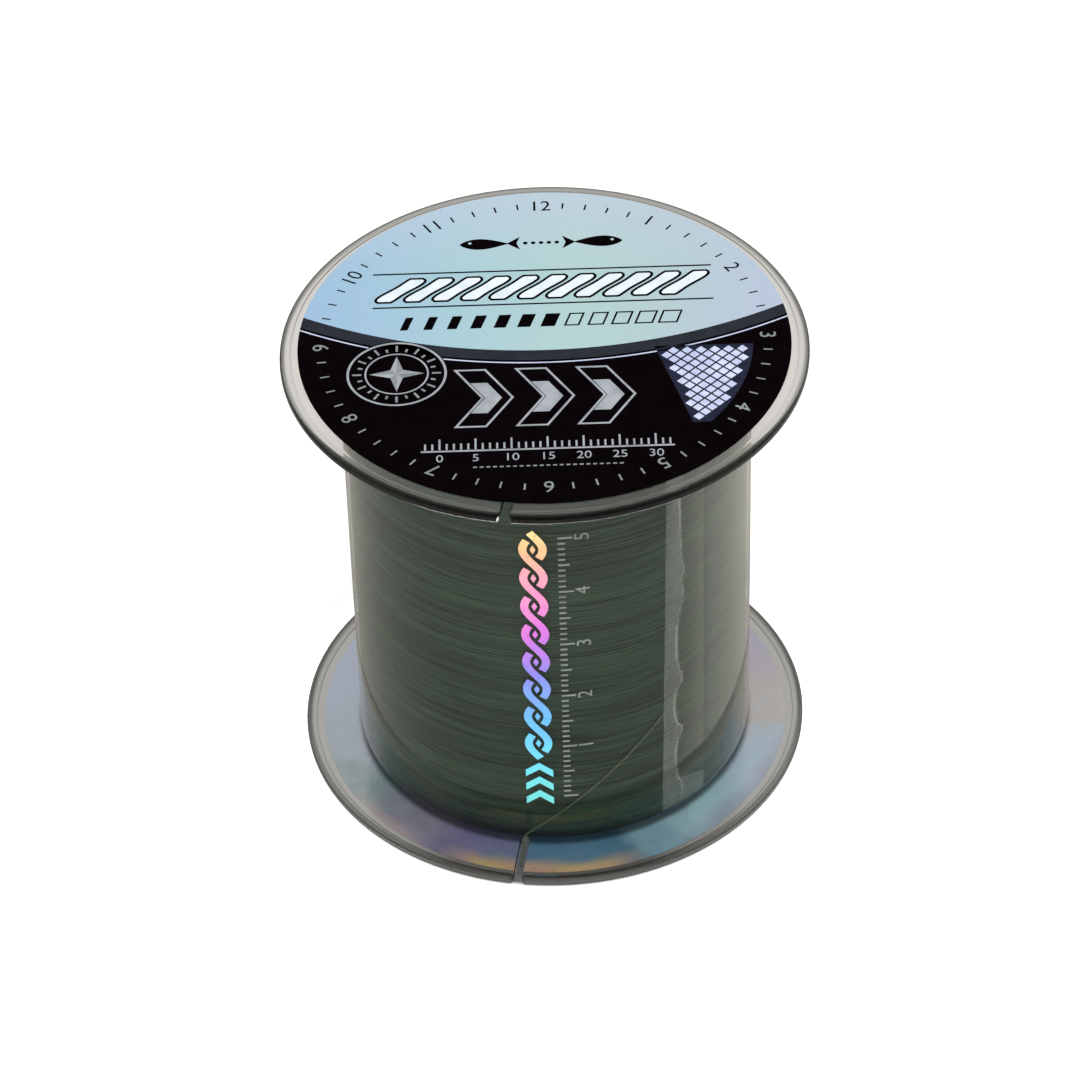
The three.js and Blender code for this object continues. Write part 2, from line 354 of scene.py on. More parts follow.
def pale_foil():
    """The label's ground: pale iridescent foil, cooler at the left, a lilac hint at the back."""
    n = material("pale_foil")
    p = n.place()
    x, y, z = n.split(p)
    drift = n.math("MULTIPLY_ADD", n.noise(p, 0.035, 2.0), 16.0, n.math("SUBTRACT", x, 8.0))
    colour = n.ramp(
        n.range(drift, -34.0, 34.0),
        [
            (0.0, srgb(140, 172, 200)),
            (0.30, srgb(148, 182, 193)),
            (0.55, srgb(158, 187, 186)),
            (0.80, srgb(160, 182, 188)),
            (1.0, srgb(164, 176, 196)),
        ],
    )
    colour = n.mix(n.range(y, 18.0, 36.0, 0.0, 0.55), colour, srgb(176, 182, 204))
    grain = n.noise(p, 6.0, 3.0)
    shader = n.add(
        "ShaderNodeBsdfPrincipled",
        {
            "Base Color": n.mix(n.range(grain, 0.4, 0.6, 0.0, 0.06), colour, (0.8, 0.85, 0.9)),
            "Metallic": 0.12,
            "Roughness": n.range(n.noise(p, 0.5, 3.0), 0.3, 0.7, 0.40, 0.48),
            "Specular IOR Level": 0.2,
            "Normal": n.bump(n.noise(p, 0.3, 2.0), 0.05, 0.0003),
        },
    )
    n.put(n.out.inputs[0], shader)
    return n.m


def ink(name, colour, other=None, roughness=0.5, metallic=0.0, scale=0.4, level=0.06):
    """A printed colour: flat ink that varies a little in cover and gloss."""
    n = material(name)
    p = n.place()
    cover = n.noise(p, scale, 4.0)
    other = other or tuple(c * 1.35 + 0.002 for c in colour)
    shader = n.add(
        "ShaderNodeBsdfPrincipled",
        {
            "Base Color": n.mix(n.range(cover, 0.35, 0.65), colour, other),
            "Metallic": metallic,
            "Roughness": n.range(n.noise(p, scale * 6, 3.0), 0.3, 0.7, roughness * 0.88, roughness * 1.12),
            "Specular IOR Level": level,
            "Normal": n.bump(n.noise(p, scale * 9, 2.0), 0.04, 0.0001),
        },
    )
    n.put(n.out.inputs[0], shader)
    return n.m


def back_foil(under=False):
    """Silver foil that splits light, its hues painted as a fixed iridescent sheen: hue zones in soft patches, darker
    and bluer at the front as a painted reflection, warmer along its outer edge at the front, with a faint painted glow.
    """
    n = material("iridescent_foil_back" if under else "iridescent_foil")
    p = n.place()
    x, y, z = n.split(p)
    azimuth = n.math("ARCTAN2", x, n.math("MULTIPLY", y, -1.0))  # 0 at the front, +90 degrees at the right
    radius = n.math("SQRT", n.math("ADD", n.math("MULTIPLY", x, x), n.math("MULTIPLY", y, y)))
    wander = n.math("MULTIPLY_ADD", n.noise(p, 0.10, 3.0), 0.12, -0.06)
    turn = n.math("MULTIPLY_ADD", azimuth, 0.5 / math.pi, 0.5)
    turn = n.math("ADD", turn, wander)
    # painted sheen and reflection: the hue goes round by heading, darker and bluer at the front, standing in for the
    # dark winding mirrored there
    colour = n.ramp(
        turn,
        [
            (0.00, srgb(220, 223, 252)),
            (0.20, srgb(215, 228, 255)),
            (0.29, srgb(206, 220, 238)),
            (0.335, srgb(150, 182, 186)),
            (0.38, srgb(160, 160, 184)),
            (0.43, srgb(142, 138, 182)),
            (0.49, srgb(98, 150, 184)),
            (0.54, srgb(94, 146, 174)),
            (0.58, srgb(152, 198, 216)),
            (0.63, srgb(190, 234, 244)),
            (0.70, srgb(208, 232, 255)),
            (0.76, srgb(222, 216, 216)),
            (0.83, srgb(206, 200, 232)),
            (1.0, srgb(220, 223, 252)),
        ],
        "EASE",
    )
    # painted iridescent sheen: gold and rose along the outer edge, only near the front
    patch = n.noise(p, 0.16, 0.0)
    outer = n.range(n.math("MULTIPLY_ADD", patch, 2.4, radius), 33.4, 36.2, smooth=True)
    front = n.range(n.math("ABSOLUTE", n.math("ADD", azimuth, 0.07)), 0.24, 0.50, 1.0, 0.0, smooth=True)
    painted_gold_sheen = n.mix(n.range(patch, 0.35, 0.65), srgb(236, 208, 142), srgb(222, 184, 158))
    colour = n.mix(n.math("MULTIPLY", outer, front), colour, painted_gold_sheen)
    # painted iridescent sheen: a rose patch at the left and a lilac one at the right, along the outer edge
    left = n.math("MULTIPLY", n.range(azimuth, -1.10, -0.95), n.range(azimuth, -0.72, -0.55, 1.0, 0.0))
    colour = n.mix(n.math("MULTIPLY", n.math("MULTIPLY", outer, left), 0.6), colour, srgb(232, 210, 208))
    right = n.math("MULTIPLY", n.range(azimuth, 0.50, 0.75), n.range(azimuth, 1.15, 1.45, 1.0, 0.0))
    colour = n.mix(n.math("MULTIPLY", n.math("MULTIPLY", outer, right), 0.55), colour, srgb(176, 168, 200))
    streak = n.noise(n.join(n.math("MULTIPLY", azimuth, 4.0), n.math("MULTIPLY", radius, 0.3), 0.0), 1.6, 2.0, 0.5)
    colour = n.mix(n.range(streak, 0.35, 0.65, 0.0, 0.05), colour, (0.92, 0.92, 0.94))
    if under:
        colour = n.mix(n.range(radius, 4.0, 34.0, 0.96, 0.45, smooth=True), colour, srgb(168, 174, 190))
    else:
        # the shade at the winding's foot
        colour = n.mix(n.range(radius, 29.0, 30.2, 0.22, 1.0, smooth=True), (0.004, 0.010, 0.012), colour)
    # painted shade: the foil is dark grey under the slot, on its upper face only
    c, s = math.cos(rad(SLOT_AZ)), math.sin(rad(SLOT_AZ))
    across = n.math("ABSOLUTE", n.math("ADD", n.math("MULTIPLY", x, -s), n.math("MULTIPLY", y, c)))
    along = n.math("ADD", n.math("MULTIPLY", x, c), n.math("MULTIPLY", y, s))
    shade = n.math("MULTIPLY", n.range(across, 0.55, 0.8, 0.0 if under else 1.0, 0.0), n.range(along, 28.0, 28.6))
    colour = n.mix(shade, colour, (0.10, 0.105, 0.11))
    shader = n.add(
        "ShaderNodeBsdfPrincipled",
        {
            "Base Color": colour,
            "Metallic": 0.15,
            "Roughness": n.range(n.noise(p, 0.4, 0.0), 0.3, 0.7, 0.26, 0.32),
            # painted light: the foil glows a little in its own colour, though it is no lamp
            "Emission Color": colour,
            "Emission Strength": 0.38,
            "Normal": n.bump(n.noise(p, 0.2, 0.0), 0.03, 0.0003),
        },
    )
    n.put(n.out.inputs[0], shader)
    return n.m


def rainbow_foil():
    """Hot-stamped foil whose hue runs from gold at the top through pink and violet to cyan."""
    n = material("rainbow_foil")
    p = n.place()
    x, y, z = n.split(p)
    wander = n.math("MULTIPLY_ADD", n.noise(p, 0.35, 2.0), 6.0, n.math("SUBTRACT", z, 3.0))
    colour = n.ramp(
        n.range(wander, 8.0, 62.0),
        [
            (0.00, srgb(126, 240, 226)),
            (0.16, srgb(120, 228, 250)),
            (0.34, srgb(112, 190, 250)),
            (0.50, srgb(146, 140, 240)),
            (0.64, srgb(222, 124, 226)),
            (0.80, srgb(255, 160, 200)),
            (0.92, srgb(255, 200, 150)),
            (1.00, srgb(250, 234, 160)),
        ],
    )
    shader = n.add(
        "ShaderNodeBsdfPrincipled",
        {
            "Base Color": colour,
            "Metallic": 0.35,
            "Roughness": n.range(n.noise(p, 0.8, 1.0), 0.3, 0.7, 0.27, 0.33),
            # painted light: the foil glows a little in its own colour, though it is no lamp
            "Emission Color": colour,
            "Emission Strength": 0.20,
            "Normal": n.bump(n.noise(p, 0.5, 0.0), 0.03, 0.0002),
        },
    )
    n.put(n.out.inputs[0], shader)
    return n.m


def crepe_tape():
    n = material("paper_tape")
    x, y, z = n.split(n.place())
    crease = n.noise(n.join(n.math("MULTIPLY", x, 1.0), n.math("MULTIPLY", y, 1.0), n.math("MULTIPLY", z, 0.2)), 4.0, 4.0)
    shader = n.add(
        "ShaderNodeBsdfPrincipled",
        {
            "Base Color": n.mix(crease, srgb(214, 204, 176), srgb(236, 228, 204)),
            "Roughness": 0.85,
            "Normal": n.bump(crease, 0.5, 0.0002),
        },
    )
    n.put(n.out.inputs[0], shader)
    return n.m


CLEAR = clear_grey()
STRANDS = strands()
FILM = clear_film()
HAZE = haze("adhesive", 0.055, 0.25)
MILKY = haze("adhesive_margin", 0.040, 0.4)
# painted highlight: pale lines along the rims of the air pockets and along the film's cut edge
PALE_LINE_HIGHLIGHT = haze("film_edge_painted_highlight", 0.050, 0.8)
# the air under the film's inner end, partly a painted reflection that lightens the film beside the end
INNER_AIR_AND_REFLECTION = haze("inner_air_and_painted_reflection", 0.013, 0.3, inner=True)
PALE = pale_foil()
BLACK = ink("label_black", srgb(5, 2, 4), srgb(8, 4, 6), level=0.01)
SLATE = ink("label_slate", srgb(32, 35, 43), srgb(38, 42, 50))
SILVER = ink("label_silver", srgb(138, 144, 150), srgb(160, 166, 172), roughness=0.4, metallic=0.15)
GREY = ink("label_grey", srgb(112, 117, 118), srgb(132, 138, 140))
LILAC = ink("label_lilac", srgb(168, 176, 206), srgb(190, 198, 220), roughness=0.4)
WHITE = ink("label_white", srgb(196, 206, 214), srgb(210, 218, 224))
NAVY = ink("label_navy", srgb(24, 27, 44), srgb(32, 36, 56))
FOIL = back_foil()
FOIL_BACK = back_foil(under=True)
RAINBOW = rainbow_foil()
FILM_GREY = ink("film_grey_print", srgb(120, 128, 122), srgb(140, 148, 142))
TAPE = crepe_tape()


# ------------------------------------------------------------- mesh helpers
def mesh_object(name, verts, faces, mats, mat_index=None, smooth=True, sharp=None):
    me = bpy.data.meshes.new(name)
    verts = np.asarray(verts, float) * MM
    me.from_pydata(verts.tolist(), [], [tuple(map(int, f)) for f in faces])
    me.validate()
    for m in mats:
        me.materials.append(m)
    if mat_index is not None:
        me.polygons.foreach_set("material_index", np.asarray(mat_index, dtype=np.int32))
    me.polygons.foreach_set("use_smooth", np.full(len(me.polygons), smooth))
    me.update()
    if smooth and sharp:
        bm = bmesh.new()
        bm.from_mesh(me)
        limit = rad(sharp)
        for e in bm.edges:
            if len(e.link_faces) == 2 and e.calc_face_angle(0) > limit:
                e.smooth = False
        bm.to_mesh(me)
        bm.free()
    o = bpy.data.objects.new(name, me)
    bpy.context.scene.collection.objects.link(o)
    return o


def outward(verts, faces):
    """The faces, turned round if the closed mesh is inside out."""
    v = np.asarray(verts, float)
    total = 0.0
    for f in faces:
        for i in range(1, len(f) - 1):
            total += np.dot(v[f[0]], np.cross(v[f[i]], v[f[i + 1]]))
    return faces if total > 0 else [tuple(reversed(f)) for f in faces]


def lathe(profile, columns):
    """A profile loop of (radius, height) turned about Z: vertices and faces."""
    k = len(profile)
    a = np.arange(columns) * 2 * math.pi / columns
    r = np.array([p[0] for p in profile])
    z = np.array([p[1] for p in profile])
    v = np.stack(
        [np.outer(r, np.cos(a)), np.outer(r, np.sin(a)), np.repeat(z[:, None], columns, 1)], -1
    ).reshape(-1, 3)
    i, j = np.meshgrid(np.arange(k), np.arange(columns), indexing="ij")
    i2, j2 = (i + 1) % k, (j + 1) % columns
    f = np.stack(
        [i * columns + j, i * columns + j2, i2 * columns + j2, i2 * columns + j], -1
    ).reshape(-1, 4)
    return v, [tuple(x) for x in f]


def box_mesh(sx, sy, low, high, at, azimuth):
    c, s = math.cos(rad(azimuth)), math.sin(rad(azimuth))
    v = []
    for z in (low, high):
        for x, y in ((-1, -1), (1, -1), (1, 1), (-1, 1)):
            px, py = at + x * sx / 2, y * sy / 2
            v.append((px * c - py * s, px * s + py * c, z))
    f = [(0, 3, 2, 1), (4, 5, 6, 7), (0, 1, 5, 4), (1, 2, 6, 5), (2, 3, 7, 6), (3, 0, 4, 7)]
    return v, f


def joined(parts):
    verts, faces = [], []
    for v, f in parts:
        k = len(verts)
        verts.extend(map(tuple, v))
        faces.extend(tuple(int(i) + k for i in x) for x in f)
    return verts, faces


# --------------------------------------------------- the two moulded halves
def slot_half_width(r):
    w = SLOT_W / 2
    if r <= SLOT_IN:
        return 0.0
    if r < SLOT_IN + w:
        return math.sqrt(max(0.0, w * w - (SLOT_IN + w - r) ** 2))
    if r > 36.3:
        w += (SLOT_LIP / 2 - w) * ((r - 36.3) / 1.4) ** 2
    return w


def half(upper):
    """One half of the spool: a flange with its slot, turned as stations of radius with a top and a bottom, and the half barrel."""
    inner = [HUB_IN + 0.0, 26.5, 27.8]
    slot_end = [SLOT_IN + 0.6 * (1 - math.cos(rad(a))) for a in (0, 20, 38, 54, 70, 90)]
    web = [30.4, 31.6, 33.0, 34.4, 35.6, 36.05]
    rim = [36.2, 36.4, 36.6, FLANGE_R - RIM_EASE_R]
    fillet = []
    stations = []  # (radius, bottom, top, has the slot)
    for r in inner + slot_end + web:
        stations.append((r, RECESS_D, RIM_T))
    stations.append((RECESS_R, RECESS_D - 0.015, RIM_T))
    stations.append((RECESS_R + 0.03, 0.03, RIM_T))
    for r in rim:
        stations.append((r, 0.0, RIM_T))
    # the rim's edge is rounded, wider than it is high
    for k in range(1, 19):
        a = rad(90 * k / 18)
        r = FLANGE_R - RIM_EASE_R * (1 - math.sin(a))
        drop = RIM_EASE_Z * (1 - math.cos(a))
        stations.append((r, drop, RIM_T - drop))
    bottom = [(r, b) for r, b, t in stations]
    top = [(r, t) for r, b, t in reversed(stations) if r > HUB_R + 0.5]
    if upper:
        barrel = [
            (HUB_R + 0.25, RIM_T), (HUB_R + 0.07, RIM_T + 0.07), (HUB_R, RIM_T + 0.25), (HUB_R, MID - 0.05),
            (LAP_R, MID - 0.05), (LAP_R, MID + LAP - 0.2), (LAP_R - 0.2, MID + LAP), (HUB_IN, MID + LAP),
        ]
    else:
        barrel = [
            (HUB_R + 0.25, RIM_T), (HUB_R + 0.07, RIM_T + 0.07), (HUB_R, RIM_T + 0.25), (HUB_R, MID),
            (LAP_R + 0.1, MID), (LAP_R + 0.1, MID - LAP - 0.2), (HUB_IN, MID - LAP - 0.2),
        ]
    loop = bottom + top + barrel
    k = len(loop)
    near = [0.0, 0.03, 0.08, 0.15, 0.23, 0.32, 0.42, 0.9]
    drops = [0.40 - math.sqrt(max(0.0, 0.40**2 - max(0.0, 0.40 - s) ** 2)) for s in near]
    body = 300
    m = 2 * len(near) + body  # columns, less one
    verts, index = [], {}
    for i, (r, z) in enumerate(loop):
        h = math.asin(min(1.0, slot_half_width(r) / r))
        is_top = len(bottom) <= i < len(bottom) + len(top)
        is_bottom = i < len(bottom)
        fade = min(1.0, max(0.0, (r - SLOT_IN) / 0.5)) if (is_top or is_bottom) else 0.0
        fade *= min(1.0, max(0.0, (FLANGE_R - r) / 0.5))
        first = [h + s / r for s in near]
        a0, a1 = first[-1], 2 * math.pi - first[-1]
        angles = first + [a0 + (a1 - a0) * t / (body + 1) for t in range(1, body + 1)] + [2 * math.pi - x for x in reversed(first)]
        sink = drops + [0.0] * body + drops[::-1]
        for j, (a, d) in enumerate(zip(angles, sink)):
            if j == len(angles) - 1 and h == 0.0:
                index[i, j] = index[i, 0]
                continue
            zz = z - d * fade if is_top else z + d * fade if is_bottom else z
            t = rad(SLOT_AZ) + a
            index[i, j] = len(verts)
            verts.append((r * math.cos(t), r * math.sin(t), zz))
    count = len(near) * 2 + body
    faces = []
    for i in range(k):
        i2 = (i + 1) % k
        for j in range(count - 1):
            f = [index[i, j], index[i, j + 1], index[i2, j + 1], index[i2, j]]
            f = [x for n, x in enumerate(f) if x != f[n - 1]]
            if len(f) > 2:
                faces.append(tuple(f))
    # walls of the slot
    low = [i for i, (r, z) in enumerate(bottom) if r >= SLOT_IN - 1e-9]
    pairs = []
    for i in low:
        r = bottom[i][0]
        t = next(n for n in range(len(bottom), len(bottom) + len(top)) if abs(loop[n][0] - r) < 1e-9 and n not in [p[1] for p in pairs])
        pairs.append((i, t))
    for (b1, t1), (b2, t2) in zip(pairs, pairs[1:]):
        for j, flip in ((0, False), (count - 1, True)):
            f = [index[b1, j], index[t1, j], index[t2, j], index[b2, j]]
            f = [x for n, x in enumerate(f) if x != f[n - 1]]
            if len(f) > 2:
                faces.append(tuple(reversed(f)) if flip else tuple(f))
    last_b, last_t = pairs[-1]
    shell = (verts, outward(verts, faces))
    parts = [shell]
    tube = [(ARBOR_BORE, RECESS_D), (ARBOR_R, RECESS_D), (ARBOR_R, MID - 0.03), (ARBOR_BORE, MID - 0.03)]
    v, f = lathe(tube, 64)
    parts.append((v, outward(v, f)))
    for n in range(6):
        v, f = box_mesh(16.7, 1.2, RECESS_D + 0.05, MID - (0.8 if upper else LAP + 0.6), 15.4, SLOT_AZ + 30 + n * 60)
        parts.append((v, outward(v, f)))
    verts, faces = joined(parts)
    if upper:
        verts = [(x, y, HEIGHT - z) for x, y, z in verts]
        faces = [tuple(reversed(f)) for f in faces]
    name = "upper_half_moulding" if upper else "lower_half_moulding"
    o = mesh_object(name, verts, faces, [CLEAR], sharp=38)
    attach(o, "spool")
    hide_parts("upper_spool_half" if upper else "lower_spool_half")
    return o


half(False)
half(True)


# ----------------------------------------------------------- wound line
def winding():
    """The outer layer turn by turn: 244 level turns, each with its own small lift, on a closed ring."""
    rng = np.random.default_rng(7)
    turns, columns = 244, 128
    low, high = RIM_T + 0.05, HEIGHT - RIM_T - 0.05
    pitch = (high - low) / turns
    az = np.arange(columns) * 2 * math.pi / columns
    lift = rng.normal(0, 0.022, turns)
    lift += 0.035 * np.interp(np.arange(turns), np.arange(0, turns + 12, 12), rng.normal(0, 1, len(np.arange(0, turns + 12, 12))))
    waves = rng.normal(0, 0.012, (turns, 3))
    phase = rng.uniform(0, 2 * math.pi, (turns, 3))
    rows_r, rows_z = [], []
    for i in range(turns):
        own = lift[i] + sum(waves[i, k] * np.sin((k + 1) * az + phase[i, k]) for k in range(3))
        own = np.clip(own, -0.08, 0.08)
        for share, bulge in ((0.06, 0.0), (0.36, 0.075), (0.66, 0.075)):
            rows_r.append(PACK_R - 0.075 + bulge + own)
            rows_z.append(np.full(columns, low + (i + share) * pitch))
    rows_r[0] = rows_r[0] * 0 + PACK_R - 0.1
    rows_z[0] = rows_z[0] * 0 + low
    rows_r.append(np.full(columns, PACK_R - 0.1)); rows_z.append(np.full(columns, high))
    rows_r.append(np.full(columns, PACK_IN)); rows_z.append(np.full(columns, high))
    rows_r.append(np.full(columns, PACK_IN)); rows_z.append(np.full(columns, low))
    r, z = np.array(rows_r), np.array(rows_z)
    k = len(r)
    v = np.stack([r * np.cos(az), r * np.sin(az), z], -1).reshape(-1, 3)
    i, j = np.meshgrid(np.arange(k), np.arange(columns), indexing="ij")
    i2, j2 = (i + 1) % k, (j + 1) % columns
    f = np.stack([i * columns + j, i * columns + j2, i2 * columns + j2, i2 * columns + j], -1).reshape(-1, 4)
    o = mesh_object("line_winding", v, f, [STRANDS], sharp=60)
    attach(o, "spool")
    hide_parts("wound_line")
    return o


winding()
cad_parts["start_tape"].data.materials.clear()
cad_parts["start_tape"].data.materials.append(TAPE)


# ------------------------------------------------------------ free line end
def tail():
    def on_pack(a, z, lift=0.0):
        r = PACK_R + 0.05 + LINE_D / 2 + lift
        return Vector((r * math.cos(rad(a)), r * math.sin(rad(a)), z))

    slope = 17.8 / 38.4
    points = []
    for i in range(13):
        a = -50 - i / 12 * 47
        start = 21.0 + (-54 + 58.8) * slope
        sink = -min(0.36, max(0.0, a + 58.5) * 0.12)
        points.append(on_pack(a, start + (a + 54) * slope * 0.45 if a > -54 else 21.0 + (a + 58.8) * slope, sink))

    def along(r, z):
        return Vector((r * math.cos(rad(SLOT_AZ)), r * math.sin(rad(SLOT_AZ)), z))

    points += [along(29.35, 2.0), along(29.9, 1.15), along(31.2, 0.75), along(34.2, 0.7)]
    cu = bpy.data.curves.new("free_line_end", "CURVE")
    cu.dimensions = "3D"
    cu.bevel_depth = LINE_D / 2 * MM
    cu.bevel_resolution = 3
    cu.use_fill_caps = True
    cu.resolution_u = 8
    sp = cu.splines.new("BEZIER")
    sp.bezier_points.add(len(points) - 1)
    for b, q in zip(sp.bezier_points, points):
        b.co = q * MM
        b.handle_left_type = b.handle_right_type = "AUTO"
    o = bpy.data.objects.new("free_line_end", cu)
    cu.materials.append(LINE_END)
    bpy.context.scene.collection.objects.link(o)
    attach(o, "spool")
    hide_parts("line_tail")


LINE_END = ink("line_end", srgb(70, 84, 68), srgb(92, 104, 86), roughness=0.5, scale=3.0)
tail()


# ------------------------------------------------------------- film sleeve
def film_end(z):
    """Azimuth of the outer end of the film: its edge leans a little."""
    return -57.5 + (z - MID) * (2.2 / 66.0)


FILM_PHASE = np.random.default_rng(3).uniform(0, 2 * math.pi, 6)


def film_radius(turned, azimuth, z):
    """Radius of the film's inner face: one wrap that climbs over its own start, with slight ripples."""
    up = min(1.0, max(0.0, (turned - 335) / 25))
    up = up * up * (3 - 2 * up)
    a = rad(azimuth)
    w = 0.012 * math.sin(5 * a + FILM_PHASE[0] + 0.02 * z) + 0.008 * math.sin(11 * a + FILM_PHASE[1] - 0.03 * z)
    w *= min(1.0, (turned / 20), max(0.0, (330 - turned) / 20)) if turned < 330 else 0.0
    return FILM_R1 + (FILM_R2 - FILM_R1) * up + w


def sleeve():
    """One wrap of film from its inner end clockwise round the winding and over itself."""
    rows, columns = 28, 300
    inner, outer = [], []
    for i in range(rows + 1):
        z = FILM_LOW + (FILM_HIGH - FILM_LOW) * i / rows
        total = FILM_START_AZ - (film_end(z) - 360)
        a_row, b_row = [], []
        for j in range(columns + 1):
            t = total * j / columns
            a = rad(FILM_START_AZ - t)
            r = film_radius(t, FILM_START_AZ - t, z)
            a_row.append((r * math.cos(a), r * math.sin(a), z))
            b_row.append(((r + FILM_T) * math.cos(a), (r + FILM_T) * math.sin(a), z))
        inner.append(a_row)
        outer.append(b_row)
    w = columns + 1
    verts = [p for row in inner for p in row] + [p for row in outer for p in row]
    k = (rows + 1) * w
    faces = []
    for i in range(rows):
        for j in range(columns):
            a, b, c, d = i * w + j, i * w + j + 1, (i + 1) * w + j + 1, (i + 1) * w + j
            faces.append((a, b, c, d))
            faces.append((k + d, k + c, k + b, k + a))
    for j in range(columns):
        faces.append((j + 1, j, k + j, k + j + 1))
        a, b = rows * w + j, rows * w + j + 1
        faces.append((a, b, k + b, k + a))
    for i in range(rows):
        a, b = i * w, (i + 1) * w
        faces.append((a, b, k + b, k + a))
        a, b = i * w + columns, (i + 1) * w + columns
        faces.append((b, a, k + a, k + b))
    o = mesh_object("film_sleeve", verts, outward(verts, faces), [FILM], sharp=50)
    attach(o, "sleeve")
    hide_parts("clear_wrap")
    return o


sleeve()


def sheet_on_sleeve(name, left, right, low, high, r, thick, mat, rows, columns, wobble=None):
    """A thin closed patch that follows the sleeve between two azimuths, which may vary with height."""
    verts = []
    for layer in (r, r + thick):
        for i in range(rows + 1):
            z = low + (high - low) * i / rows
            a0, a1 = left(z), right(z)
            for j in range(columns + 1):
                a = rad(a0 + (a1 - a0) * j / columns)
                verts.append((layer * math.cos(a), layer * math.sin(a), z))
    w = columns + 1
    k = (rows + 1) * w
    faces = []
    for i in range(rows):
        for j in range(columns):
            a, b, c, d = i * w + j, i * w + j + 1, (i + 1) * w + j + 1, (i + 1) * w + j
            faces.append((d, c, b, a))
            faces.append((k + a, k + b, k + c, k + d))
    for j in range(columns):
        faces.append((j, j + 1, k + j + 1, k + j))
        a, b = rows * w + j, rows * w + j + 1
        faces.append((b, a, k + a, k + b))
    for i in range(rows):
        a, b = i * w, (i + 1) * w
        faces.append((b, a, k + a, k + b))
        a, b = i * w + columns, (i + 1) * w + columns
        faces.append((a, b, k + b, k + a))
    return mesh_object(name, verts, outward(verts, faces), [mat], sharp=50)


def adhesive():
    """The strip of adhesive under the film's end: milky, with a ragged inner margin where air has crept in."""
    rng = random.Random(11)
    # lens-shaped pockets of air along the inner margin: (lower end, upper end, depth in degrees)
    lenses = [(7.0, 16.8, 2.3), (18.2, 26.6, 2.9), (28.8, 41.8, 2.2), (44.6, 47.6, 0.7), (49.3, 92.0, 2.4)]
    ripple = [(z, rng.uniform(-0.10, 0.10)) for z in np.linspace(0, 72, 60)]

    def pocket(z):
        for lo, hi, size in lenses:
            if lo <= z <= hi:
                return size * math.sin(math.pi * (z - lo) / (hi - lo)) ** 0.45
        return 0.0

    def margin(z):
        return film_end(z) + 6.7 + 0.25 * math.sin(z * 0.11 + 0.6) + np.interp(z, [k[0] for k in ripple], [k[1] for k in ripple])

    def spread(z):
        # at the foot the adhesive has crept on to the film's inner end
        return 9.1 * min(1.0, max(0.0, (7.5 - z) / 1.8)) ** 0.7

    r = FILM_R1 + FILM_T + 0.012
    low, high = FILM_LOW + 0.25, FILM_HIGH - 0.25
    o = sheet_on_sleeve("overlap_adhesive", lambda z: film_end(z) + 0.25, lambda z: margin(z) - pocket(z) + spread(z), low, high, r, 0.022, HAZE, 240, 8)
    edge = sheet_on_sleeve(
        "adhesive_margin", lambda z: margin(z) - pocket(z) - 0.05 - pocket(z) * 0.22, lambda z: margin(z) - pocket(z) + 0.05 + pocket(z) * 0.28,
        low, high, r + 0.024, 0.006, MILKY, 360, 2,
    )
    # painted highlight: pale lines along the rims of the air pockets
    rim_highlights = []
    for shift, wide in ((-1.0, 0.34), (-1.12, 0.20)):
        rim_highlights.append(
            sheet_on_sleeve(
                "pocket_rim_painted_highlight", lambda z: margin(z) + shift * pocket(z) - wide, lambda z: margin(z) + shift * pocket(z) + wide,
                low, high, r + 0.032, 0.004, PALE_LINE_HIGHLIGHT, 240, 1,
            )
        )
    # painted highlight: a pale line along the film's cut edge
    lip_highlight = sheet_on_sleeve(
        "film_cut_edge_painted_highlight", lambda z: film_end(z) + 0.02, lambda z: film_end(z) + 0.16,
        FILM_LOW + 0.05, FILM_HIGH - 0.05, FILM_R2 + FILM_T + 0.003, 0.006, PALE_LINE_HIGHLIGHT, 40, 1,
    )
    # the air under the film's inner end, partly a painted reflection that lightens the film there
    air_and_reflection = sheet_on_sleeve(
        "inner_end_air_and_painted_reflection", lambda z: FILM_START_AZ + 0.15, lambda z: -14.0,
        FILM_LOW + 0.05, FILM_HIGH - 0.05, FILM_R2 + FILM_T + 0.003, 0.005, INNER_AIR_AND_REFLECTION, 60, 30,
    )
    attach(o, "sleeve")
    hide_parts("wrap_adhesive_strip")
    for piece, slot in ((air_and_reflection, "adhesive"), (edge, "adhesive"), (rim_highlights[0], "adhesive"), (rim_highlights[1], "adhesive"), (lip_highlight, "clear_film")):
        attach(piece, "sleeve")


adhesive()


# ------------------------------------------------------------- flat prints
def flat_shape(loops, z, thick):
    """A closed thin solid from outline loops in millimetres; a loop inside another is a hole."""
    cu = bpy.data.curves.new("outline", "CURVE")
    cu.dimensions = "2D"
    cu.fill_mode = "BOTH"
    cu.extrude = thick / 2
    for loop in loops:
        sp = cu.splines.new("POLY")
        sp.points.add(len(loop) - 1)
        for q, (x, y) in zip(sp.points, loop):
            q.co = (x, y, 0.0, 1.0)
        sp.use_cyclic_u = True
    return curve_solid(cu, z + thick / 2)


def curve_solid(cu, z, at=(0.0, 0.0), turn=0.0):
    o = bpy.data.objects.new("outline", cu)
    bpy.context.scene.collection.objects.link(o)
    bpy.context.view_layer.update()
    me = bpy.data.meshes.new_from_object(o.evaluated_get(bpy.context.evaluated_depsgraph_get()))
    bpy.data.objects.remove(o)
    if isinstance(cu, bpy.types.Curve):
        bpy.data.curves.remove(cu)
    c, s = math.cos(rad(turn)), math.sin(rad(turn))
    verts = [(at[0] + v.co.x * c - v.co.y * s, at[1] + v.co.x * s + v.co.y * c, v.co.z + z) for v in me.vertices]
    faces = [tuple(p.vertices) for p in me.polygons]
    bpy.data.meshes.remove(me)
    return verts, faces


